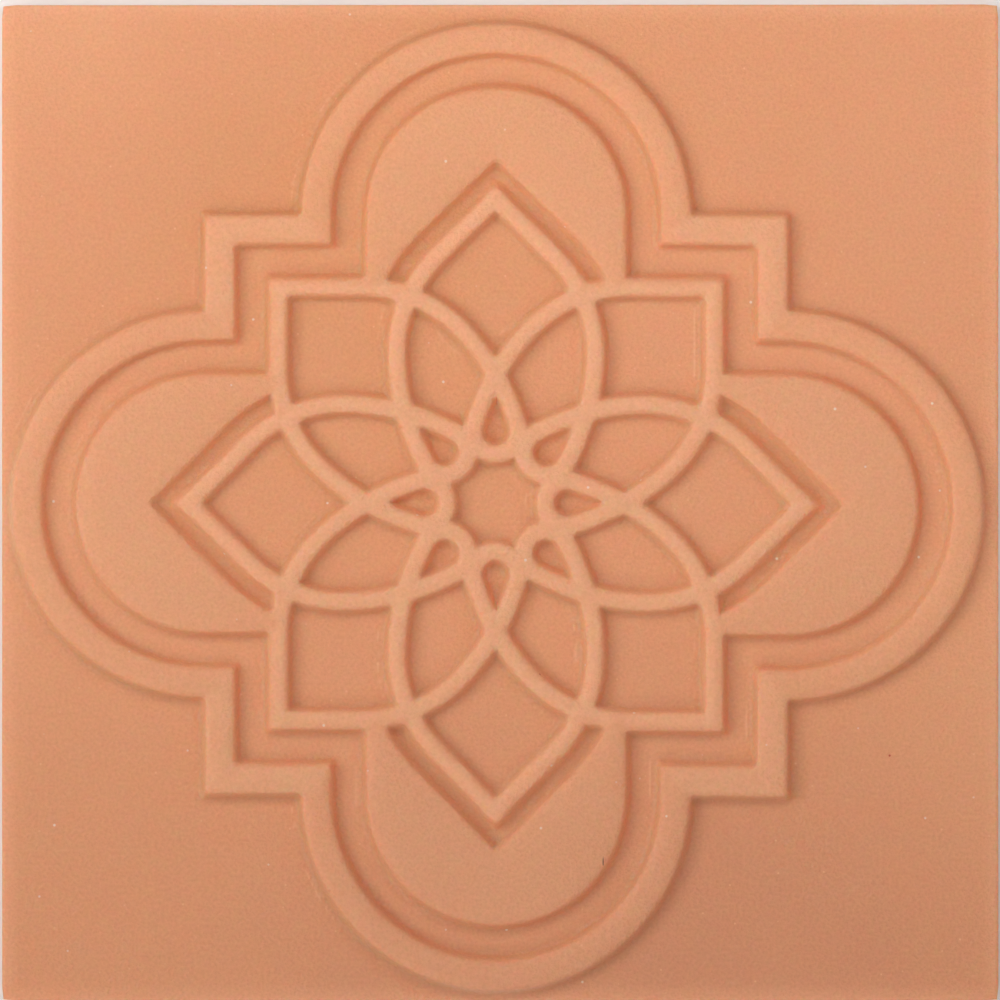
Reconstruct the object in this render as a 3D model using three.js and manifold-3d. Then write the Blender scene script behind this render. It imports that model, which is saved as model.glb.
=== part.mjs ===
// Clay texture sheet: one slab of polymer clay with a raised ornament, an interlaced
// rosette of eight petals inside a barbed quatrefoil frame.
// Millimetres, +Z up, origin in the middle of the underside.

import * as THREE from "three";
import { mergeVertices } from "three/addons/utils/BufferGeometryUtils.js";
import Module from "manifold-3d";

const wasm = await Module();
wasm.setup();

// Slab
const sheetWidth = 90;
const sheetDepth = 90;
const groundThickness = 3; // from the underside up to the low ground between the raised forms
const cornerRadius = 0.9; // of the sheet's four corners, seen from above
const rimWidth = 0.6; // how far in the rounding of the cut upper rim reaches
const rimDrop = 0.45; // and how far down

// Relief: every raised form ends in one plane. Its sizes below are those of its top, from which
// a rounded shoulder falls away to a steep wall.
const reliefHeight = 1.5;
const shoulderWidth = 0.5;
const shoulderDrop = 0.7;
const wallSpread = 0.3; // how far the wall stands outside the form's top
const rootDepth = 1; // how deep the raised forms run on into the slab
const figureX = -0.38; // place of the rosette's centre on the sheet
const figureY = -0.02;

// Rosette: eight loops that interlace, each a stroke from one tip round to the next but one
const strokeWidth = 1.5;
const petalReach = 19.53; // from the centre to the two straight sides that meet at a tip
const shoulderRadius = 12.48; // the stroke's first bend, after the straight side
const shoulderTurn = THREE.MathUtils.degToRad(47);
const flankRadius = 21.6; // its second, slower bend
const flankTurn = THREE.MathUtils.degToRad(26.4);
const loopRadius = 2.03; // the small loop round the rosette's eye
const petals = 8;

// Slots outside the four petals that point along the sheet's sides
const slotWidth = 1.78;
const slotEndRise = 0.37; // a slot stops this far outside the line of the corner petals' sides

// Frame: a square with a round lobe in the middle of each side, drawn three times
const fieldMargin = 0.06; // land outside the strokes of the corner petals
const slotMargin = 1.63; // land between the end of a slot and the side of its lobe
const moatWidth = 3.16; // low ring between the inner field and the band
const bandWidth = 2.6; // raised ring

// Pull of the soft clay as the sheet left its mould, in mm at the outer edge of the frame
const stretchX = 0.24;
const fanX = 0.04;
const leanX = 0.1;
const bowX = -0.02;
const stretchY = 0.04;
const skewY = -0.13;
const fanY = 0.16;
const bowY = -0.29;
const leanY = -0.44;

// Facets of the arcs
const lobeSteps = 26;
const shoulderSteps = 8;
const flankSteps = 6;
const loopSteps = 8;
const slotSteps = 5;
const cornerSteps = 4;
const bevelSteps = 2;

const quarter = Math.PI / 2;
const groundZ = groundThickness;
const topZ = groundZ + reliefHeight;
const halfStroke = strokeWidth / 2;
const fieldHalf = petalReach + halfStroke + fieldMargin; // half the square of the inner field
const bandHalf = fieldHalf + moatWidth + bandWidth; // half the square of the band's outer edge
const lobeCentre = bandHalf; // the lobes stand on the sides of the outer square

function point(x, y) {
  return new THREE.Vector2(x, y);
}

function onCircle(centre, radius, angle) {
  return point(Math.cos(angle), Math.sin(angle)).multiplyScalar(radius).add(centre);
}

function arc(centre, radius, from, to, steps) {
  return Array.from({ length: steps + 1 }, (_, i) =>
    onCircle(centre, radius, THREE.MathUtils.lerp(from, to, i / steps)),
  );
}

function turned(points, angle) {
  return points.map((p) => p.clone().rotateAround(point(0, 0), angle));
}

function mirrored(points) {
  return points.map((p) => point(-p.x, p.y)).reverse();
}

function distinct(points) {
  const tooClose = 1e-6;
  return points.filter((p, i) => p.distanceTo(points.at(i - 1)) > tooClose);
}

function solid(geometry) {
  geometry.deleteAttribute("normal");
  geometry.deleteAttribute("uv");
  const merged = mergeVertices(geometry, 1e-5);
  return new wasm.Manifold(
    new wasm.Mesh({
      numProp: 3,
      vertProperties: merged.attributes.position.array,
      triVerts: new Uint32Array(merged.index.array),
    }),
  );
}

// A raised form: the outline, let out by the spread, pushed up to the given height and rounded
// inwards at its shoulder. Outlines and holes are drawn the same way round, so a hole is turned to
// face its outline.
function raised(outline, holes, bottom, top, width, drop, spread = 0) {
  const shape = new THREE.Shape(distinct(outline));
  shape.holes = holes.map((hole) => new THREE.Path(distinct(hole).reverse()));
  const geometry = new THREE.ExtrudeGeometry(shape, {
    depth: top - bottom - 2 * drop,
    bevelThickness: drop,
    bevelSize: width,
    bevelOffset: spread - width,
    bevelSegments: bevelSteps,
  });
  return solid(geometry.translate(0, 0, bottom + drop));
}

function relief(outline, holes = []) {
  const bottom = groundZ - rootDepth;
  return raised(outline, holes, bottom, topZ, shoulderWidth, shoulderDrop, wallSpread);
}

// The centre of an arc that runs on from another lies on the line through their common end
function arcCentre(centre, radiusChange, turn) {
  return point(Math.sin(turn), Math.cos(turn)).multiplyScalar(radiusChange).add(centre);
}

// The stroke of one half loop starts at the tip (-petalReach, petalReach), runs along +X, bends
// down over shoulder and flank, crosses the loop's axis and closes round the small loop's foot.
const bend = shoulderTurn + flankTurn;
const straight =
  petalReach -
  (shoulderRadius - flankRadius) * Math.sin(shoulderTurn) -
  (flankRadius - loopRadius) * Math.sin(bend);
const shoulderCentre = point(straight - petalReach, petalReach - shoulderRadius);
const flankCentre = arcCentre(shoulderCentre, shoulderRadius - flankRadius, shoulderTurn);
const loopCentre = arcCentre(flankCentre, flankRadius - loopRadius, bend);

const slotCorner = slotSide().at(-2);
const fieldLobeRadius = slotCorner.x + slotMargin;
const bandLobeRadius = fieldLobeRadius + moatWidth + bandWidth;
const figureReach = lobeCentre + bandLobeRadius;

// A line that runs beside the stroke's middle, out from it by the offset
function strokeSide(offset) {
  const pastFoot = (Math.PI - bend) / loopSteps;
  return [
    point(-petalReach - halfStroke, petalReach + offset),
    ...arc(shoulderCentre, shoulderRadius + offset, quarter, quarter - shoulderTurn, shoulderSteps),
    ...arc(flankCentre, flankRadius + offset, quarter - shoulderTurn, quarter - bend, flankSteps).slice(1),
    ...arc(loopCentre, loopRadius + offset, quarter - bend, -quarter - pastFoot, loopSteps + 1).slice(1),
  ];
}

function halfLoop() {
  return [...strokeSide(halfStroke), ...strokeSide(-halfStroke).reverse()];
}

function rosette() {
  const half = halfLoop();
  const strokes = [];
  for (let petal = 0; petal < petals; petal++) {
    const angle = (petal * 2 * Math.PI) / petals;
    strokes.push(relief(turned(half, angle)), relief(turned(mirrored(half), angle)));
  }
  return strokes.reduce((all, stroke) => all.add(stroke));
}

// Where the strokes of two neighbouring petals cross, half a petal's angle from the loop's axis
function shoulderNode() {
  const halfPetal = Math.PI / petals;
  const lean = Math.tan(halfPetal);
  const reach = (-shoulderCentre.x - lean * shoulderCentre.y) / shoulderRadius;
  const turn = Math.asin(reach * Math.cos(halfPetal)) - halfPetal;
  return onCircle(shoulderCentre, shoulderRadius, quarter - turn);
}

// The outer edge of the slot on the right of the petal that points along +Y, from tip to end,
// and the place where the slot's end meets the middle of that petal's stroke
function slotSide() {
  const centre = turned([shoulderCentre], (-2 * Math.PI) / petals)[0];
  const outerRadius = shoulderRadius + halfStroke + slotWidth;
  const rise = petalReach + slotEndRise - centre.y;
  const tip = point(0, (petalReach + halfStroke + slotWidth) * Math.SQRT2);
  const edge = arc(centre, outerRadius, quarter / 2, Math.asin(rise / outerRadius), slotSteps);
  const onStroke = onCircle(centre, shoulderRadius, Math.asin(rise / shoulderRadius));
  return [tip, ...edge, onStroke];
}

// The outline that repeats the upper side's points on the right, the bottom and the left
function fourSides(side) {
  return [0, 1, 2, 3].flatMap((k) => turned(side, -k * quarter));
}

// The rosette's ground inside the inner field, out to the slots and the middle of the outer strokes
function rosetteGround() {
  const slotRight = slotSide();
  const slotLeft = mirrored(slotRight).slice(0, -1);
  const nodeRight = mirrored([shoulderNode()])[0];
  const nodeBelow = point(nodeRight.y, nodeRight.x);
  const corner = point(petalReach, petalReach);
  return fourSides([...slotLeft, ...slotRight, nodeRight, corner, nodeBelow]);
}

// Square with a lobe on each side: straight up beside the lobe, then round about its centre
function quatrefoil(half, radius) {
  const side = [
    point(-half, half),
    point(-radius, half),
    ...arc(point(0, lobeCentre), radius, Math.PI, 0, lobeSteps),
    point(radius, half),
  ];
  return fourSides(side);
}

function innerField() {
  return relief(quatrefoil(fieldHalf, fieldLobeRadius), [rosetteGround()]);
}

function band() {
  const inner = quatrefoil(bandHalf - bandWidth, bandLobeRadius - bandWidth);
  return relief(quatrefoil(bandHalf, bandLobeRadius), [inner]);
}

// Moves a point of the true figure to where the pulled clay carries it
function pulled(position) {
  const u = position.x / figureReach;
  const v = position.y / figureReach;
  position.x += figureX + stretchX * u + fanX * u * v + leanX * u * u + bowX * v * v;
  position.y += figureY + stretchY * v + skewY * u + fanY * u * v + bowY * u * u + leanY * v * v;
  return position;
}

function ornament() {
  const figure = geometryOf(rosette().add(innerField()).add(band()));
  const place = figure.attributes.position;
  const vertex = new THREE.Vector3();
  for (let i = 0; i < place.count; i++) {
    pulled(vertex.fromBufferAttribute(place, i));
    place.setXYZ(i, vertex.x, vertex.y, vertex.z);
  }
  return solid(figure);
}

// The slab is pushed up from below its underside, which is then cut flat
function slab() {
  const x = sheetWidth / 2 - cornerRadius;
  const y = sheetDepth / 2 - cornerRadius;
  const corners = [point(x, y), point(-x, y), point(-x, -y), point(x, -y)];
  const outline = corners.flatMap((c, k) =>
    arc(c, cornerRadius, k * quarter, (k + 1) * quarter, cornerSteps),
  );
  const below = 2 * rimDrop;
  const block = raised(outline, [], -below, groundZ, rimWidth, rimDrop);
  const waste = new THREE.BoxGeometry(2 * sheetWidth, 2 * sheetDepth, 2 * below);
  return block.subtract(solid(waste.translate(0, 0, -below)));
}

function geometryOf(manifold) {
  const { vertProperties, triVerts, numProp } = manifold.getMesh();
  const geometry = new THREE.BufferGeometry();
  geometry.setAttribute("position", new THREE.BufferAttribute(vertProperties, numProp));
  geometry.setIndex(new THREE.BufferAttribute(triVerts, 1));
  return geometry;
}

const polymerClay = new THREE.MeshStandardMaterial({
  color: 0xd99c72,
  roughness: 0.62,
  metalness: 0,
});

const sheet = new THREE.Mesh(geometryOf(slab().add(ornament())), polymerClay);
sheet.name = "clay_sheet";
sheet.geometry.computeVertexNormals();

const group = new THREE.Group();
group.add(sheet);

export default group;
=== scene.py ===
"""A pressed sheet of polymer clay in a plain studio.

One square slab of peach-coloured polymer clay that was pressed into a mould. An interlaced
rosette of eight petals stands up from it, inside a barbed quatrefoil frame.
Metres, +Z up, origin in the middle of the slab's underside.
"""

import math

import bmesh
import bpy
import numpy as np
from bpy.props import FloatProperty, FloatVectorProperty, IntProperty, PointerProperty
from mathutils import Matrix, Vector, noise


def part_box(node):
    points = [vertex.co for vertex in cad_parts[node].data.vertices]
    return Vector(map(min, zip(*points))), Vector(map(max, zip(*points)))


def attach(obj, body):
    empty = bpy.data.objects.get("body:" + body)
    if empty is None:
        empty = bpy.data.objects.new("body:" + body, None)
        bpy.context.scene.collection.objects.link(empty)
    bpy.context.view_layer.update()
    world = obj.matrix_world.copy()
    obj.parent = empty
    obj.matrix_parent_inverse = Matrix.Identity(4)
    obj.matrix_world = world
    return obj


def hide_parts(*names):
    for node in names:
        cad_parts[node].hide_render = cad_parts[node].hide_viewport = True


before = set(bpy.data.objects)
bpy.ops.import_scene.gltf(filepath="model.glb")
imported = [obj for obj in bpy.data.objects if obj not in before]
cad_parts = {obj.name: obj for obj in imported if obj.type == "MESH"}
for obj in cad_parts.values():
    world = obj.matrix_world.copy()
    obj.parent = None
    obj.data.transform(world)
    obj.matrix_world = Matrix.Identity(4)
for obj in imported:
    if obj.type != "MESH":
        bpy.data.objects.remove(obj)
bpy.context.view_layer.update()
slab_low, slab_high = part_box("clay_sheet")
MM = 0.001
OUTSIDE = -1.0  # stands for the distance of a point that lies far outside a form

# How much mould powder clings to the clay, together with how pale its tops are painted for sheen and
# its rim for glow, from 0 to 1
SETTLED_POWDER = (0.25, 0.1, 0.17)  # on the floors of the slots, the rosette and the moat
# Painted glow: the clay is painted paler along the cut edges, standing in for light that shines in
# through them
RIM_GLOW = 0.6  # along the cut edges
RIM_GLOW_REACH = 0.6 * MM
# Painted sheen as well as mould powder: the tops of the raised forms are painted paler
LAND_POWDER_AND_SHEEN = 0.45  # on the band and on the land of the inner field; the rosette's strokes have 1

# Share of painted shade on the walls, a deeper, redder colour fitted to their tint; there is less
# where they face left or down, towards the side and fill lamps
WALL_SHADE = 0.35
LESS_WALL_SHADE_LEFT = 0.42
LESS_WALL_SHADE_DOWN = 0.08
WALL_SHADE_IN_SLOTS = 0.45  # the slots' walls keep this share of it
WALL_SHADE_MIDDLE = 0.25 * MM  # from a wall's foot inwards
WALL_SHADE_REACH = 0.3 * MM

WALL_CUTS = (0, 0.22, 0.42, 0.6, 0.76, 0.89, 1)  # lines along a wall, as shares of its width
DEEPEST = 5 * MM  # no distance inside or outside a form counts for more
SLOPE_STEP = 0.05 * MM  # over which a wall's direction is measured
TROUGH_MIDDLE = 0.3  # from a wall's foot outwards, as a share of the ridge's own distance
TROUGH_REACH = 0.75
RIDGE_PIECE = 4 * MM  # length of a piece of the broken ridges
RIDGE_BREAK = 2.5  # how suddenly a ridge breaks off
SIDE_WAVER = ((0, 13 * MM), (1, 17 * MM))  # length of the waver in the sides across X and Y
SIDE_HUG = 24  # how closely the waver keeps to the border

# Middle in mm, reach in mm, strength and colour of the slow patches of tone painted over the clay:
# warmer above the middle, pinker towards the bottom, paler at the left, the right and the upper left
TONE_PATCHES = (
    (-15, 22, 36, 1.0, "warm"),
    (12, 36, 32, 0.4, "warm"),
    (15, -50, 55, 1.0, "pink"),
    (-46, 46, 24, 1.0, "pale"),
    (-50, -5, 28, 1.0, "pale"),
    (50, -14, 30, 1.0, "pale"),
)

GREYNESS = 0.28  # a lighter grain is greyer by this share, so that no grain looks tinted

# Radius, spacing, stretch, turn and colour of the powder grains, specks and fibres in the clay
FLECKS = (
    (0.12 * MM, 1.8 * MM, 1.0, 0.0, "powdered"),
    (0.16 * MM, 3.2 * MM, 1.0, 0.0, "speck"),
    (0.13 * MM, 10 * MM, 1.0, 0.0, "red_speck"),
    (0.07 * MM, 5 * MM, 10.0, 0.9, "fibre"),
    (0.07 * MM, 6.5 * MM, 10.0, -0.5, "fibre"),
)

# Name, place, size and aim of each lamp
LAMPS = (
    ("side", (-0.536, 0, 0.454), (0.3, 0.3), (0, 0, 0)),
    ("fill", (0, -0.636, 0.64), (0.5, 0.5), (0, 0, 0)),
    ("top", (0, 0.06, 0.35), (0.4, 0.4), (0, 0, 0)),
    ("strip", (-0.03, 0.065, 0.12), (0.4, 0.06), (-0.03, 0.065, 0)),
)
SENSOR_MM = 36

bl_info = {
    "name": "Pressed Clay Sheet",
    "version": (1, 0, 0),
    "blender": (4, 5, 0),
    "location": "3D View > Sidebar > Clay Sheet",
    "description": "Adds a pressed sheet of polymer clay with a rosette in a quatrefoil frame",
    "category": "Add Mesh",
}


def length(name, description, millimetres):
    """A length property that is written here in millimetres and kept in metres."""
    return FloatProperty(
        name=name,
        description=description,
        default=millimetres * MM,
        subtype="DISTANCE",
        unit="LENGTH",
        precision=5,
    )


def colour(name, description, hex_code):
    """A colour property that is written here as an sRGB hex code."""
    return FloatVectorProperty(
        name=name,
        description=description,
        default=linear(hex_code),
        size=4,
        min=0,
        max=1,
        subtype="COLOR",
    )


def linear(hex_code):
    """Turns an sRGB hex code such as "d99c72" into linear red, green, blue and alpha."""
    channels = (int(hex_code[i : i + 2], 16) / 255 for i in (0, 2, 4))
    return (
        *(c / 12.92 if c <= 0.04045 else ((c + 0.055) / 1.055) ** 2.4 for c in channels),
        1.0,
    )


class SlabSizes(bpy.types.PropertyGroup):
    """The cut slab of clay and how fine its mesh is."""

    ground: length("Ground", "Height of the low ground above the underside", 3.0)
    relief: length("Relief", "Height of the raised forms above the ground", 1.5)
    shoulder: length("Shoulder", "How far inside a form's outline its wall reaches the top", 0.05)
    foot: length("Foot", "How far outside a form's outline its wall meets the ground", 0.6)
    hollow: FloatProperty(
        name="Hollow",
        description="How softly a wall rises from the ground, 1 for a sharp foot",
        default=2.0,
        min=1,
    )
    roundness: FloatProperty(
        name="Roundness",
        description="How softly a wall ends in the top, 1 for a sharp shoulder",
        default=1.4,
        min=1,
    )
    dome: length("Dome", "How far the top of a raised form falls towards its walls", 0.42)
    dome_reach: length("Dome reach", "How far from a wall its top is still falling", 0.9)
    crease: length("Crease", "Rounding where raised forms meet", 0.28)
    corner_rounding: length("Corner rounding", "Rounding of the raised forms' corners", 0.35)
    ridge_gap: length("Ridge gap", "From a wall's foot to the fine ridge beside it", 0.4)
    ridge_width: length("Ridge width", "Width of the fine ridges", 0.16)
    ridge_height: length("Ridge height", "Height of the fine ridges", 0.055)
    sag: length("Sag", "Depth of the trough between such a ridge and its wall", 0.035)
    tremor: length("Tremor", "How far the walls stray from the mould's clean lines", 0.035)
    tremor_size: length("Tremor size", "Length over which a wall strays and comes back", 3.5)
    waver: length("Waver", "How far the cut sides stray from straight lines", 0.04)
    slant: length("Slant", "How far the far edge runs down towards the left", 0.08)
    plan_corner: length("Sheet corner", "Radius of the sheet's four corners from above", 0.4)
    rim_width: length("Rim width", "How far in the rounding of the cut rim reaches", 0.25)
    rim_drop: length("Rim drop", "How far down the rounding of the cut rim reaches", 0.2)
    heel: length("Heel", "Small rounding of the lower rim", 0.15)
    undulation: length("Undulation", "Height of the slow waves in the clay", 0.07)
    wave: length("Wave", "Size of the slow waves in the clay", 14.0)
    cells: IntProperty(
        name="Cells",
        description="Cells along one side before the walls are refined",
        default=72,
        min=16,
        max=80,
    )


class FigureSizes(bpy.types.PropertyGroup):
    """The ornament, and how the soft clay was pulled as it left the mould."""

    stroke: length("Stroke", "Width of the rosette's lines", 1.5)
    reach: length("Petal reach", "From the centre to a straight side of a petal's tip", 19.53)
    shoulder_radius: length("Shoulder bend", "Radius of the first bend of a petal", 12.48)
    shoulder_turn: FloatProperty(
        name="Shoulder turn",
        description="Angle of the first bend of a petal",
        default=math.radians(47),
        subtype="ANGLE",
    )
    flank_radius: length("Flank bend", "Radius of the slower second bend of a petal", 21.6)
    flank_turn: FloatProperty(
        name="Flank turn",
        description="Angle of the second bend of a petal",
        default=math.radians(26.4),
        subtype="ANGLE",
    )
    loop_radius: length("Small loop", "Radius of the small loop round the eye", 2.03)
    slot: length("Slot", "Width of the slots outside four of the petals", 1.78)
    slot_rise: length("Slot end", "How far a slot's end stands off the corner petals", 0.37)
    field_margin: length("Field margin", "Land outside the corner petals", 0.06)
    lobe: length("Lobe", "Radius of the inner field's lobes", 11.66)
    moat: length("Moat", "Width of the low ring inside the band", 3.16)
    band: length("Band", "Width of the raised band", 2.6)
    place: FloatVectorProperty(
        name="Place",
        description="Middle of the rosette on the sheet",
        default=(-0.38 * MM, -0.02 * MM),
        size=2,
        subtype="TRANSLATION",
    )
    stretch_x: length("Stretch X", "Pull along X of what lies to the right", 0.24)
    fan_x: length("Fan X", "Pull along X of the upper right corner", 0.04)
    lean_x: length("Lean X", "Pull along X of both sides", 0.1)
    bow_x: length("Bow X", "Pull along X of what lies above and below", -0.02)
    stretch_y: length("Stretch Y", "Pull along Y of what lies above", 0.04)
    skew_y: length("Skew Y", "Pull along Y of what lies to the right", -0.13)
    fan_y: length("Fan Y", "Pull along Y of the upper right corner", 0.16)
    bow_y: length("Bow Y", "Pull along Y of both sides", -0.29)
    lean_y: length("Lean Y", "Pull along Y of what lies above and below", -0.44)


class ClayLook(bpy.types.PropertyGroup):
    """The finish of the clay."""

    plain: colour("Clay", "Colour of the clay between the patches", "e8a578")
    warm: colour("Warm patch", "Colour of the clay where it is more orange", "e3a06e")
    pink: colour("Pink patch", "Colour of the clay where it is pinker", "e09d74")
    pale: colour("Pale patches", "Colour of the clay where it is paler", "ecac7f")
    # Mould powder and painted light: a paler colour for the tops' sheen, the rim's glow and the
    # ridges' highlight
    powdered: colour("Powdered tops", "Colour where mould powder clung to the clay", "efb489")
    # Painted shade: a deeper, redder colour laid on the walls that face away from the lamps
    bare: colour("Bare clay", "Colour of the walls, where no powder clung", "ed976c")
    speck: colour("Specks", "Colour of the white specks", "f2d8c4")
    red_speck: colour("Red specks", "Colour of the few red specks", "c4573c")
    fibre: colour("Fibres", "Colour of the dark fibres", "8a5540")
    roughness: FloatProperty(
        name="Roughness",
        description="Roughness of the baked surface",
        default=0.5,
        min=0,
        max=1,
        subtype="FACTOR",
    )
    scatter: length("Scatter", "How far red light travels inside the clay", 1.2)
    grain: length("Grain", "Size of the coarsest grain of the surface", 0.3)
    grain_height: length("Grain height", "Height of the grain", 0.13)
    grain_tone: FloatProperty(
        name="Grain tone",
        description="How much lighter and darker the grain makes the clay",
        default=0.12,
        min=0,
        max=1,
        subtype="FACTOR",
    )
    mottle: length("Mottle", "Size of the patches of tone", 20.0)


class StudioSetup(bpy.types.PropertyGroup):
    """Floor, lamps and camera."""

    floor: colour("Floor", "Colour of the floor", "f6f4f2")
    side: FloatProperty(
        name="Side lamp", description="Power of the soft lamp on the left", default=1.27, unit="POWER"
    )
    fill: FloatProperty(
        name="Fill lamp", description="Power of the soft lamp in front", default=1.65, unit="POWER"
    )
    strip: FloatProperty(
        name="Strip lamp", description="Power of the long lamp overhead", default=0.148, unit="POWER"
    )
    top: FloatProperty(
        name="Top lamp", description="Power of the wide lamp overhead", default=0.02, unit="POWER"
    )
    sky: FloatProperty(name="Sky", description="Strength of the even light", default=0.286)
    view_width: length("View width", "Width that the picture takes in", 90.2)
    distance: length("Distance", "Height of the camera above the clay", 1500.0)
    view_x: length("View X", "Middle of the picture", -0.02)
    view_y: length("View Y", "Middle of the picture", 0.23)


def smooth_min(a, b, width):
    """The lesser of two distances, rounded where they are within a width of each other."""
    overlap = np.maximum(width - np.abs(a - b), 0) / width
    return np.minimum(a, b) - overlap**2 * width / 4


def smooth_max(a, b, width):
    return -smooth_min(-a, -b, width)


class Figure:
    """How far inside the raised forms a point of the ornament lies.

    Points are complex numbers, x + iy in metres, so that a turn is a product.
    """

    def __init__(self, sizes, slab):
        self.sizes = sizes
        self.crease = slab.crease
        self.rounding = slab.corner_rounding
        self.half_stroke = sizes.stroke / 2
        quarter = math.pi / 2
        flank_start = quarter - sizes.shoulder_turn
        loop_start = flank_start - sizes.flank_turn
        to_flank = sizes.shoulder_radius - sizes.flank_radius
        to_loop = sizes.flank_radius - sizes.loop_radius
        straight = (
            sizes.reach - to_flank * math.cos(flank_start) - to_loop * math.cos(loop_start)
        )
        self.shoulder = complex(
            straight - sizes.reach, sizes.reach - sizes.shoulder_radius
        )
        flank = self.shoulder + to_flank * np.exp(1j * flank_start)
        loop = flank + to_loop * np.exp(1j * loop_start)
        self.bends = (
            (self.shoulder, sizes.shoulder_radius, quarter, flank_start),
            (flank, sizes.flank_radius, flank_start, loop_start),
            (loop, sizes.loop_radius, loop_start, -quarter),
        )
        self.field_half = sizes.reach + self.half_stroke + sizes.field_margin
        self.frame_width = sizes.moat + sizes.band
        self.lobe_centre = self.field_half + self.frame_width
        self.extent = self.lobe_centre + sizes.lobe + self.frame_width

    def pull(self, p):
        """How far the soft clay carried a point of the true figure."""
        sizes = self.sizes
        u, v = p.real / self.extent, p.imag / self.extent
        x = sizes.stretch_x * u + sizes.fan_x * u * v
        y = sizes.stretch_y * v + sizes.skew_y * u + sizes.fan_y * u * v
        x += sizes.lean_x * u**2 + sizes.bow_x * v**2
        y += sizes.bow_y * u**2 + sizes.lean_y * v**2
        return x + sizes.place[0] + 1j * (y + sizes.place[1])

    def half_loop(self, p):
        """Inside one stroke, from a petal's tip to the foot of its small loop."""
        reach, half = self.sizes.reach, self.half_stroke
        run = smooth_min(half - np.abs(p.imag - reach), p.real + reach + half, self.rounding)
        inside = np.where(p.real <= self.shoulder.real, run, OUTSIDE)
        for centre, radius, start, end in self.bends:
            spoke = p - centre
            on_bend = (np.angle(spoke) <= start) & (np.angle(spoke) >= end)
            bend = half - np.abs(np.abs(spoke) - radius)
            inside = np.where(on_bend, np.maximum(inside, bend), inside)
        return inside

    def rosette(self, p):
        """Inside the sixteen half loops."""
        inside = np.full(p.shape, OUTSIDE)
        for petal in range(8):
            turned = p * np.exp(-0.25j * math.pi * petal)
            for half in (turned, -turned.conjugate()):
                inside = smooth_max(inside, self.half_loop(half), self.crease)
        return inside

    def quatrefoil(self, p, half, radius):
        """Inside a square with a round lobe on each side."""
        x, y = np.abs(p.real), np.abs(p.imag)
        square = smooth_min(half - x, half - y, self.rounding)
        upright = radius - np.hypot(x, np.maximum(y - self.lobe_centre, 0))
        across = radius - np.hypot(y, np.maximum(x - self.lobe_centre, 0))
        lobes = smooth_max(upright, across, self.crease)
        return smooth_max(square, lobes, self.crease)

    def slots(self, p):
        """Inside the four petals that point along the sheet's sides, out to their slots."""
        sizes = self.sizes
        turns = np.round(np.angle(p) / (math.pi / 2)) - 1
        upright = p * np.exp(-0.5j * math.pi * turns)
        sides = []
        for side in (upright, -upright.conjugate()):
            turned = side * np.exp(0.25j * math.pi)
            bend = np.abs(turned - self.shoulder) - sizes.shoulder_radius
            beyond = np.where(turned.real <= self.shoulder.real, turned.imag - sizes.reach, bend)
            sides.append(self.half_stroke + sizes.slot - beyond)
        inside = smooth_min(*sides, self.rounding)
        return smooth_min(inside, upright.imag - sizes.reach - sizes.slot_rise, self.crease)

    def star(self, p):
        """Inside the outer strokes, whose tips and crossings make a star."""
        eighth = math.pi / 8
        lean = (-self.shoulder.real - math.tan(eighth) * self.shoulder.imag)
        turn = math.asin(lean / self.sizes.shoulder_radius * math.cos(eighth)) - eighth
        crossing = self.shoulder + self.sizes.shoulder_radius * np.exp(
            1j * (math.pi / 2 - turn)
        )
        tip = self.sizes.reach * math.sqrt(2)
        node = np.abs(crossing) * np.exp(1j * eighth)
        along = (node - tip) / np.abs(node - tip)
        folded = np.abs((np.angle(p) + eighth) % (2 * eighth) - eighth)
        spoke = np.abs(p) * np.exp(1j * folded) - tip
        return (spoke * along.conjugate()).imag

    def forms(self, p):
        """Inside the rosette, the land of the inner field and the band, each on its own."""
        sizes = self.sizes
        field = self.quatrefoil(p, self.field_half, sizes.lobe)
        cut = np.maximum(self.slots(p), self.star(p))
        land = smooth_min(field, -cut, self.crease)
        outer = self.quatrefoil(p, self.lobe_centre, sizes.lobe + self.frame_width)
        inner = self.quatrefoil(
            p, self.lobe_centre - sizes.band, sizes.lobe + self.frame_width - sizes.band
        )
        return self.rosette(p), land, np.minimum(outer, -inner)

    def unpulled(self, p):
        """Where a point of the pulled clay lay in the true figure."""
        return p - self.pull(p - self.pull(p))

    def pressed_forms(self, p):
        """The forms for points of the pulled clay."""
        return self.forms(self.unpulled(p))

    def recesses(self, p):
        """Whether points of the pulled clay lie in the slots, in the rosette, in the moat."""
        true = self.unpulled(p)
        in_rosette = self.star(true) > 0
        in_slot = (self.slots(true) > 0) & ~in_rosette
        lobe = self.sizes.lobe
        in_frame = self.quatrefoil(true, self.lobe_centre, lobe + self.frame_width) > 0
        in_moat = in_frame & (self.quatrefoil(true, self.field_half, lobe) < 0)
        return in_slot, in_rosette, in_moat


def deselect_all():
    bpy.ops.object.select_all(action="DESELECT")


def points_of(mesh):
    """The vertices' places as an array of rows x, y, z."""
    co = np.empty(len(mesh.vertices) * 3)
    mesh.vertices.foreach_get("co", co)
    return co.reshape(-1, 3)


def move_points(mesh, co):
    mesh.vertices.foreach_set("co", co.ravel())
    mesh.update()


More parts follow.
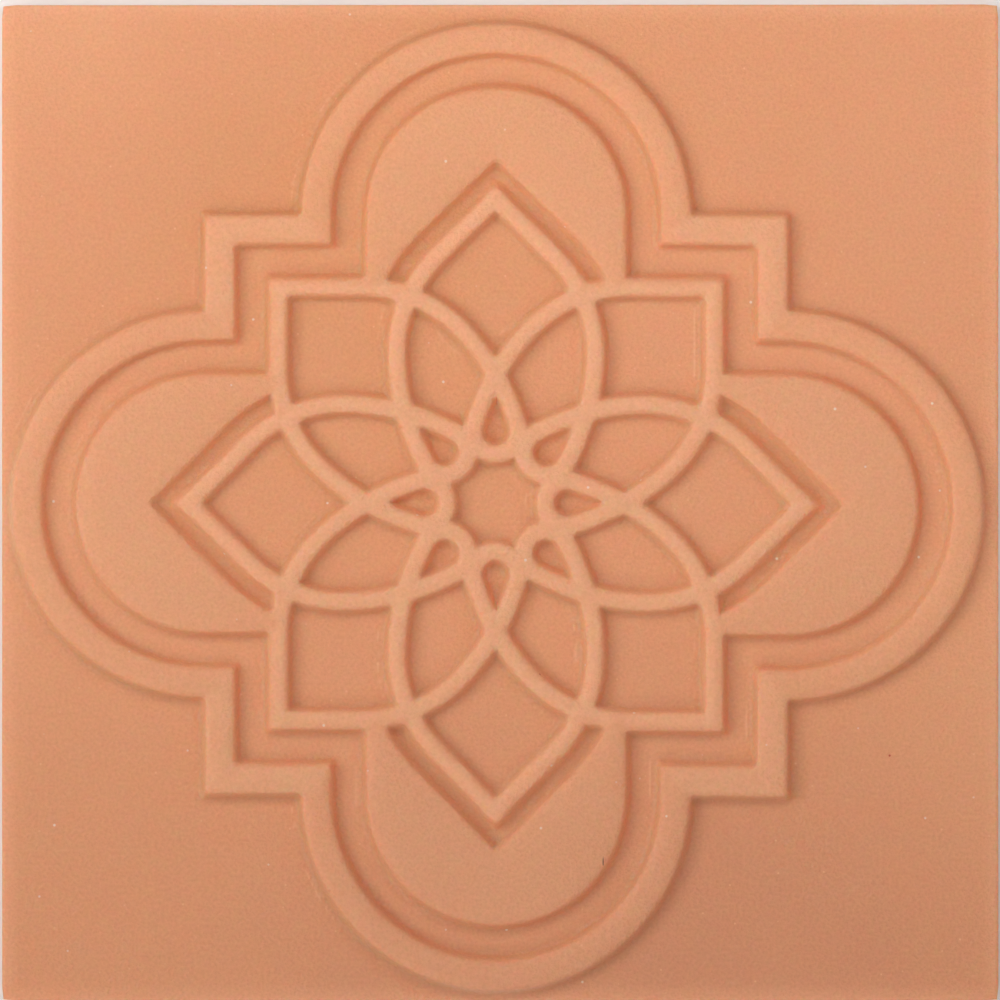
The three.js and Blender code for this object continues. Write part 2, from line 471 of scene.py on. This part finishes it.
def refine(figure, slab, half, cell):
    """Subdivides, in edit mode, the cells that a wall of the relief or a corner touches."""
    edited = bmesh.from_edit_mesh(bpy.context.active_object.data)
    faces = [f for f in edited.faces if len(f.verts) == 4 and f.calc_area() > 0.5 * cell**2]
    middles = np.array([f.calc_center_median()[:2] for f in faces])
    inside = np.max(figure.pressed_forms(middles[:, 0] + 1j * middles[:, 1]), axis=0)
    margin = cell * 0.71
    near = inside > -slab.foot - slab.ridge_gap - margin
    on_wall = near & (inside < slab.shoulder + margin)
    at_corner = np.abs(middles).min(axis=1) > half - slab.plan_corner
    bpy.ops.mesh.select_all(action="DESELECT")
    for face, chosen in zip(faces, on_wall | at_corner):
        face.select_set(bool(chosen))
    edited.select_flush_mode()
    bmesh.update_edit_mesh(bpy.context.active_object.data)
    bpy.ops.mesh.subdivide(number_cuts=1, ngon=True)


class CLAY_OT_press_sheet(bpy.types.Operator):
    """Rolls out the slab and presses the ornament into it"""

    bl_idname = "clay.press_sheet"
    bl_label = "Press the Clay Sheet"

    def execute(self, context):
        slab, sizes = context.scene.clay_slab, context.scene.clay_figure
        figure = Figure(sizes, slab)
        half = Vector(((slab_high.x - slab_low.x) / 2, (slab_high.y - slab_low.y) / 2))
        inner = half.x - slab.rim_width
        deselect_all()
        bpy.ops.mesh.primitive_grid_add(
            x_subdivisions=slab.cells,
            y_subdivisions=slab.cells,
            size=2 * inner,
            location=(0, 0, slab.ground),
        )
        sheet = context.active_object
        sheet.name = sheet.data.name = "pressed_clay_sheet"
        bpy.ops.object.transform_apply(location=True, rotation=True, scale=True)

        bpy.ops.object.mode_set(mode="EDIT")
        context.tool_settings.mesh_select_mode = (False, False, True)
        cell = 2 * inner / slab.cells
        for level in range(2):
            refine(figure, slab, inner, cell / 2**level)
        bpy.ops.object.mode_set(mode="OBJECT")
        mark_forms(sheet.data, figure, slab)
        cut_along_walls(context, slab)
        raise_relief(sheet.data, slab)
        wave_ground(context, sheet, slab)
        leave_ridges(sheet.data, slab)
        turn_down_edges(context, sheet, slab, inner)
        round_plan_corners(sheet.data, slab, half)
        cut_by_hand(sheet.data, slab, half)
        bpy.ops.object.mode_set(mode="EDIT")
        bpy.ops.mesh.select_all(action="SELECT")
        bpy.ops.mesh.normals_make_consistent(inside=False)
        bpy.ops.object.mode_set(mode="OBJECT")
        bpy.ops.object.shade_smooth_by_angle(angle=math.radians(80))

        sheet.data.materials.append(baked_polymer_clay(context.scene.clay_look))
        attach(sheet, "root")
        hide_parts("clay_sheet")
        return {"FINISHED"}


def note(mesh, name, values):
    """Keeps one number for each point as a named attribute."""
    if name not in mesh.attributes:
        mesh.attributes.new(name=name, type="FLOAT", domain="POINT")
    mesh.attributes[name].data.foreach_set("value", values.astype(np.float32))


def noted(mesh, name):
    values = np.empty(len(mesh.vertices), np.float32)
    mesh.attributes[name].data.foreach_get("value", values)
    return values.astype(float)


def cloudy(co, size, layer):
    """A smooth random number from -1 to 1 for each point; each layer is another pattern."""
    shift = Vector((0, 0, 7.3 * layer))
    return np.array([noise.noise(Vector(point) / size + shift) for point in co])


def mark_forms(mesh, figure, slab):
    """Notes how powdery and how dragged by the mould each point came out, and how much painted sheen,
    glow and wall shade it takes.

    Every point is then set at its distance inside the forms.
    """
    co = points_of(mesh)
    stray = cloudy(co, slab.tremor_size, 1) + 1j * cloudy(co, slab.tremor_size, 2)
    p = co[:, 0] + 1j * co[:, 1] + slab.tremor * stray
    forms = figure.pressed_forms(p)
    inside = np.max(forms, axis=0)
    facing_left, facing_down = (
        (np.max(figure.pressed_forms(p + step), axis=0) - inside) / SLOPE_STEP
        for step in (SLOPE_STEP, 1j * SLOPE_STEP)
    )
    recesses = figure.recesses(p)
    in_slot = recesses[0]
    note(mesh, "dragged", np.where(in_slot, 0, np.clip(facing_left, 0, 1)))
    # Painted shade on the walls, less on those that face the side lamp on the left and the fill lamp
    # in front
    bare = WALL_SHADE - LESS_WALL_SHADE_LEFT * facing_left - LESS_WALL_SHADE_DOWN * facing_down
    note(mesh, "bare", np.where(in_slot, WALL_SHADE_IN_SLOTS, 1) * np.clip(bare, 0, 1))
    # Painted glow along the cut rim; the floors of the recesses take settled powder instead
    from_border = np.abs(co[:, :2]).max() - np.abs(co[:, :2]).max(axis=1)
    rim_glow = RIM_GLOW * np.exp(-from_border / RIM_GLOW_REACH)
    note(mesh, "settled", np.select(recesses, SETTLED_POWDER, rim_glow))
    # The strokes' tops are painted palest, for sheen as well as powder
    on_stroke = np.clip(0.5 + (forms[0] - forms[1]) / slab.foot, 0, 1)
    note(mesh, "powdered", LAND_POWDER_AND_SHEEN + (1 - LAND_POWDER_AND_SHEEN) * on_stroke)
    co[:, 2] = np.clip(inside, -DEEPEST, DEEPEST)
    move_points(mesh, co)


def cut_along_walls(context, slab):
    """Cuts the mesh along lines that run beside the walls, so that feet and shoulders are clean."""
    bpy.ops.object.mode_set(mode="EDIT")
    width = slab.foot + slab.shoulder
    levels = [share * width - slab.foot for share in WALL_CUTS]
    ridge = -slab.foot - slab.ridge_gap
    levels += [ridge - slab.ridge_width / 2, ridge, ridge + slab.ridge_width / 2]
    for level in levels:
        bpy.ops.mesh.select_all(action="SELECT")
        bpy.ops.mesh.bisect(plane_co=(0, 0, level), plane_no=(0, 0, 1))
    bpy.ops.mesh.select_all(action="SELECT")
    bpy.ops.mesh.remove_doubles(threshold=0.02 * MM)
    bpy.ops.object.mode_set(mode="OBJECT")


def raise_relief(mesh, slab):
    """Lifts every point to the height that the mould gave it."""
    co = points_of(mesh)
    inside = co[:, 2].copy()
    from_foot_signed = inside + slab.foot
    from_foot = np.maximum(from_foot_signed, 0)
    ramp = np.minimum(from_foot / (slab.foot + slab.shoulder), 1)
    fall = slab.dome * np.exp(-from_foot / slab.dome_reach)
    co[:, 2] = slab.ground + (slab.relief - fall) * (1 - (1 - ramp**slab.hollow) ** slab.roundness)
    move_points(mesh, co)
    # Tops take powder and painted sheen; low ground takes settled powder and the painted rim glow
    on_top = ramp**2
    powder = on_top * noted(mesh, "powdered") + (1 - on_top) * noted(mesh, "settled")
    note(mesh, "powdered", powder)
    # The painted wall shade keeps to a band up the wall from its foot
    on_wall = np.exp(-(((from_foot_signed - WALL_SHADE_MIDDLE) / WALL_SHADE_REACH) ** 2))
    note(mesh, "bare", noted(mesh, "bare") * on_wall)
    note(mesh, "inside", inside)


def leave_ridges(mesh, slab):
    """Troughs and broken ridges beside the walls that face left, where the mould dragged.

    They are drawn as if the mould had shifted to the left as it came off and scraped the clay.
    """
    co = points_of(mesh)
    off_foot = noted(mesh, "inside") + slab.foot
    from_trough = off_foot + TROUGH_MIDDLE * slab.ridge_gap
    trough = np.exp(-((from_trough / (TROUGH_REACH * slab.ridge_gap)) ** 2))
    ridge = np.maximum(1 - 2 * np.abs(off_foot + slab.ridge_gap) / slab.ridge_width, 0)
    kept = ridge * np.clip(0.5 + RIDGE_BREAK * cloudy(co, RIDGE_PIECE, 3), 0, 1)
    dragged = noted(mesh, "dragged")
    co[:, 2] += (slab.ridge_height * kept - slab.sag * trough) * dragged
    move_points(mesh, co)
    # Painted highlight as well as powder: the kept ridges are painted pale
    note(mesh, "powdered", np.maximum(noted(mesh, "powdered"), kept * dragged))


def wave_ground(context, sheet, slab):
    """Slow waves in the rolled clay, and creases softened as clay fills a mould."""
    clouds = bpy.data.textures.new("slow_waves", type="CLOUDS")
    clouds.noise_scale = slab.wave
    clouds.noise_depth = 1
    waves = sheet.modifiers.new("waves", "DISPLACE")
    waves.texture = clouds
    waves.texture_coords = "LOCAL"
    waves.direction = "Z"
    waves.mid_level = 0.85
    waves.strength = slab.undulation
    bpy.ops.object.modifier_apply(modifier=waves.name)
    soften = sheet.modifiers.new("soften", "SMOOTH")
    soften.use_x = soften.use_y = False
    soften.factor = 0.5
    soften.iterations = 1
    bpy.ops.object.modifier_apply(modifier=soften.name)


def turn_down_edges(context, sheet, slab, inner):
    """Extrudes the border outwards over the rounded rim, down the cut side and under the slab."""
    bpy.ops.object.mode_set(mode="EDIT")
    context.tool_settings.mesh_select_mode = (False, True, False)
    edited = bmesh.from_edit_mesh(sheet.data)
    bpy.ops.mesh.select_all(action="DESELECT")
    for edge in edited.edges:
        edge.select_set(edge.is_boundary)
    bmesh.update_edit_mesh(sheet.data)
    rim_steps = 6
    side_steps = 5
    turns = [math.pi / 2 * (i + 1) / rim_steps for i in range(rim_steps)]
    stations = [
        (slab.rim_width * math.sin(t), slab.rim_drop * (1 - math.cos(t))) for t in turns
    ]
    side_top = slab.ground - slab.rim_drop
    side = side_top - slab.heel
    stations += [
        (slab.rim_width, slab.rim_drop + side * (i + 1) / side_steps) for i in range(side_steps)
    ]
    stations += [
        (slab.rim_width - slab.heel * 0.3, slab.ground - slab.heel * 0.3),
        (slab.rim_width - slab.heel, slab.ground),
        (-slab.rim_width, slab.ground),
    ]
    out, drop = 0, 0
    for next_out, next_drop in stations:
        bpy.ops.mesh.extrude_edges_move(
            TRANSFORM_OT_translate={"value": (0, 0, drop - next_drop)}
        )
        growth = (inner + next_out) / (inner + out)
        bpy.ops.transform.resize(value=(growth, growth, 1), center_override=(0, 0, 0))
        out, drop = next_out, next_drop
    bpy.ops.mesh.edge_face_add()
    bpy.ops.object.mode_set(mode="OBJECT")
    co = points_of(sheet.data)
    low = co[:, 2] < slab.heel / 2
    co[low, 2] = 0
    move_points(sheet.data, co)


def round_plan_corners(mesh, slab, half):
    """Draws the square corners of the sheet in to arcs."""
    co = points_of(mesh)
    plan = np.abs(co[:, :2])
    start = np.array(half) - slab.plan_corner
    beyond = np.maximum(plan - start, 0)
    at_corner = beyond.min(axis=1) > 0
    reach = beyond.max(axis=1)
    spread = np.hypot(*beyond.T)
    drawn = beyond * np.where(at_corner, reach / np.maximum(spread, 1e-9), 1)[:, None]
    plan = np.where(at_corner[:, None], start + drawn, plan)
    co[:, :2] = np.sign(co[:, :2]) * plan
    move_points(mesh, co)


def cut_by_hand(mesh, slab, half):
    """Lets the cut sides waver inwards, and the far edge run down towards the left."""
    co = points_of(mesh)
    share = co[:, :2] / np.array(half)
    at_side = np.abs(share) ** SIDE_HUG
    for axis, length_of_waver in SIDE_WAVER:
        at_border = at_side[:, axis] > 0.01
        stray = 0.5 + 0.5 * cloudy(co[at_border], length_of_waver, 4 + axis)
        co[at_border, axis] -= (
            np.sign(co[at_border, axis]) * slab.waver * stray * at_side[at_border, axis]
        )
    far = (share[:, 1] > 0) * at_side[:, 1]
    co[:, 1] -= slab.slant * far * (1 - share[:, 0]) / 2
    move_points(mesh, co)


def add_node(tree, kind, links=None, **settings):
    """Adds a node, sets its properties and named inputs, and links sockets into it."""
    node = tree.nodes.new(kind)
    for name, value in settings.items():
        if hasattr(node, name):
            setattr(node, name, value)
        else:
            node.inputs[name.replace("_", " ")].default_value = value
    for name, socket in (links or {}).items():
        tree.links.new(socket, node.inputs[name])
    return node


def clouds(tree, place, size, detail):
    """Cloudy noise whose patches are about as large as the size, in metres."""
    pattern = add_node(
        tree, "ShaderNodeTexNoise", {"Vector": place}, Scale=1 / size, Detail=detail
    )
    return pattern.outputs["Fac"]


def patch(tree, place, middle, reach, strength, ragged):
    """A soft patch with a ragged edge, strongest in its middle and gone beyond its reach."""
    away = add_node(tree, "ShaderNodeVectorMath", {"Vector": place}, operation="DISTANCE")
    away.inputs[1].default_value = (*middle, slab_high.z)
    stray = add_node(tree, "ShaderNodeMath", operation="MULTIPLY_ADD")
    stray.inputs[1].default_value = reach
    tree.links.new(ragged, stray.inputs[0])
    tree.links.new(away.outputs["Value"], stray.inputs[2])
    return add_node(
        tree,
        "ShaderNodeMapRange",
        {"Value": stray.outputs["Value"]},
        interpolation_type="SMOOTHSTEP",
        From_Min=1.5 * reach,
        From_Max=0.5 * reach,
        To_Max=strength,
    ).outputs["Result"]


def flecks(tree, place, radius, spacing, stretch=1.0, turn=0.0):
    """Scattered small flecks; those whose middle lies far from the surface don't show."""
    lengthened = add_node(
        tree,
        "ShaderNodeMapping",
        {"Vector": place},
        Scale=(1.0, 1 / stretch, 1.0),
        Rotation=(0.0, 0.0, turn),
    ).outputs["Vector"]
    cells = add_node(
        tree, "ShaderNodeTexVoronoi", {"Vector": lengthened}, Scale=1 / spacing
    ).outputs["Distance"]
    edge = radius / spacing
    return add_node(
        tree,
        "ShaderNodeMapRange",
        {"Value": cells},
        From_Min=edge,
        From_Max=0.5 * edge,
    ).outputs["Result"]


def blend(tree, share, first, second):
    """Mixes two colours, each a socket or a plain colour, by a share from 0 to 1."""
    mix = add_node(tree, "ShaderNodeMix", data_type="RGBA")
    tree.links.new(share, mix.inputs[0])
    for place, part in ((6, first), (7, second)):
        if isinstance(part, bpy.types.NodeSocket):
            tree.links.new(part, mix.inputs[place])
        else:
            mix.inputs[place].default_value = part
    return mix.outputs[2]


def new_material(name):
    material = bpy.data.materials.new(name)
    material.use_nodes = True
    material.node_tree.nodes.clear()
    return material, material.node_tree


def baked_polymer_clay(look):
    """Polymer clay, pressed in a mould and baked.

    PVC clay lets light a little way in, so that its edges glow orange, and it bakes to a satin matt
    skin with the fine grain of the mould and slow patches of tone. Its colour also carries painted
    sheen on the tops, painted glow along the rim, painted highlight on the fine ridges and painted
    shade on the walls.
    """
    material, tree = new_material("polymer_clay_pressed_and_baked")
    place = add_node(tree, "ShaderNodeTexCoord").outputs["Object"]
    powder = add_node(tree, "ShaderNodeAttribute", attribute_name="powdered").outputs["Fac"]
    bare = add_node(tree, "ShaderNodeAttribute", attribute_name="bare").outputs["Fac"]
    mottle = clouds(tree, place, look.mottle, 3.0)
    tone = look.plain
    for x, y, reach, strength, there in TONE_PATCHES:
        share = patch(tree, place, (x * MM, y * MM), reach * MM, strength, mottle)
        tone = blend(tree, share, tone, getattr(look, there))
    # Mould powder and painted light: paler on the tops for sheen, along the rim for glow and on the
    # ridges for highlight
    tone = blend(tree, powder, tone, look.powdered)
    # Painted shade: the walls that face away from the lamps take a deeper, redder colour
    tone = blend(tree, bare, tone, look.bare)
    for radius, spacing, stretch, turn, mixed_in in FLECKS:
        share = flecks(tree, place, radius, spacing, stretch, turn)
        tone = blend(tree, share, tone, getattr(look, mixed_in))
    # Most of the real grain is near 0.1 mm; its coarsest part is drawn larger, so that it shows
    grain = clouds(tree, place, look.grain, 4.0)
    lightness, greyness = (
        add_node(
            tree, "ShaderNodeMapRange", {"Value": grain}, To_Min=1 - change, To_Max=1 + change
        ).outputs["Result"]
        for change in (look.grain_tone, -GREYNESS * look.grain_tone)
    )
    tone = add_node(
        tree,
        "ShaderNodeHueSaturation",
        {"Color": tone, "Value": lightness, "Saturation": greyness},
    ).outputs["Color"]
    bump = add_node(
        tree,
        "ShaderNodeBump",
        {"Height": grain},
        Strength=1.0,
        Distance=look.grain_height,
    ).outputs["Normal"]
    clay = add_node(
        tree,
        "ShaderNodeBsdfPrincipled",
        {"Base Color": tone, "Normal": bump},
        Roughness=look.roughness,
        IOR=1.5,
        Subsurface_Weight=1.0,
        Subsurface_Radius=(1.0, 0.14, 0.06),
        Subsurface_Scale=look.scatter,
    )
    add_node(tree, "ShaderNodeOutputMaterial", {"Surface": clay.outputs["BSDF"]})
    return material


def matt_paper(studio):
    """White paper with a matt coating, which the slab lies on."""
    material, tree = new_material("paper_matt_white")
    paper = add_node(tree, "ShaderNodeBsdfPrincipled")
    paper.inputs["Base Color"].default_value = studio.floor
    paper.inputs["Roughness"].default_value = 0.9
    add_node(tree, "ShaderNodeOutputMaterial", {"Surface": paper.outputs["BSDF"]})
    return material


def hang_lamp(name, place, size, power, aim):
    """A soft rectangular lamp that the camera doesn't see."""
    bpy.ops.object.light_add(type="AREA", location=place)
    lamp = bpy.context.active_object
    lamp.name = lamp.data.name = name
    lamp.data.shape = "RECTANGLE"
    lamp.data.size, lamp.data.size_y = size
    lamp.data.energy = power
    lamp.visible_camera = False
    lamp.rotation_euler = (Vector(aim) - lamp.location).to_track_quat("-Z", "Y").to_euler()


class CLAY_OT_studio(bpy.types.Operator):
    """Lays the floor, hangs the lamps and sets up the camera"""

    bl_idname = "clay.studio"
    bl_label = "Set Up the Studio"

    def execute(self, context):
        scene, studio = context.scene, context.scene.clay_studio
        face = slab_high.z
        deselect_all()
        bpy.ops.mesh.primitive_plane_add(size=4, location=(0, 0, 0))
        floor = context.active_object
        floor.name = floor.data.name = "floor"
        floor.data.materials.append(matt_paper(studio))

        for name, place, size, aim in LAMPS:
            hang_lamp(f"{name}_lamp", place, size, getattr(studio, name), aim)

        world = bpy.data.worlds.new("even_light")
        scene.world = world
        world.use_nodes = True
        background = world.node_tree.nodes["Background"]
        background.inputs["Color"].default_value = linear("fffafc")
        background.inputs["Strength"].default_value = studio.sky

        bpy.ops.object.camera_add(
            location=(studio.view_x, studio.view_y, face + studio.distance)
        )
        camera = context.active_object
        camera.name = "camera"
        camera.data.sensor_width = SENSOR_MM
        camera.data.lens = SENSOR_MM * studio.distance / studio.view_width
        camera.data.dof.use_dof = False
        scene.camera = camera
        scene.view_settings.view_transform = "Standard"
        return {"FINISHED"}


class CLAY_PT_sheet(bpy.types.Panel):
    """Lists the sheet's operators and sizes"""

    bl_idname = "CLAY_PT_sheet"
    bl_label = "Clay Sheet"
    bl_space_type = "VIEW_3D"
    bl_region_type = "UI"
    bl_category = "Clay Sheet"

    def draw(self, context):
        scene = context.scene
        for title, settings, operator in (
            ("Slab", scene.clay_slab, CLAY_OT_press_sheet),
            ("Ornament", scene.clay_figure, None),
            ("Finish", scene.clay_look, None),
            ("Studio", scene.clay_studio, CLAY_OT_studio),
        ):
            box = self.layout.box()
            box.label(text=title)
            for name in type(settings).__annotations__:
                box.prop(settings, name)
            if operator:
                box.operator(operator.bl_idname)


SETTINGS = {
    "clay_slab": SlabSizes,
    "clay_figure": FigureSizes,
    "clay_look": ClayLook,
    "clay_studio": StudioSetup,
}
CLASSES = (*SETTINGS.values(), CLAY_OT_press_sheet, CLAY_OT_studio, CLAY_PT_sheet)


def register():
    for cls in CLASSES:
        bpy.utils.register_class(cls)
    for name, group in SETTINGS.items():
        setattr(bpy.types.Scene, name, PointerProperty(type=group))


def unregister():
    for name in SETTINGS:
        delattr(bpy.types.Scene, name)
    for cls in reversed(CLASSES):
        bpy.utils.unregister_class(cls)


def main():
    register()
    bpy.ops.clay.press_sheet()
    bpy.ops.clay.studio()


if __name__ == "__main__":
    main()
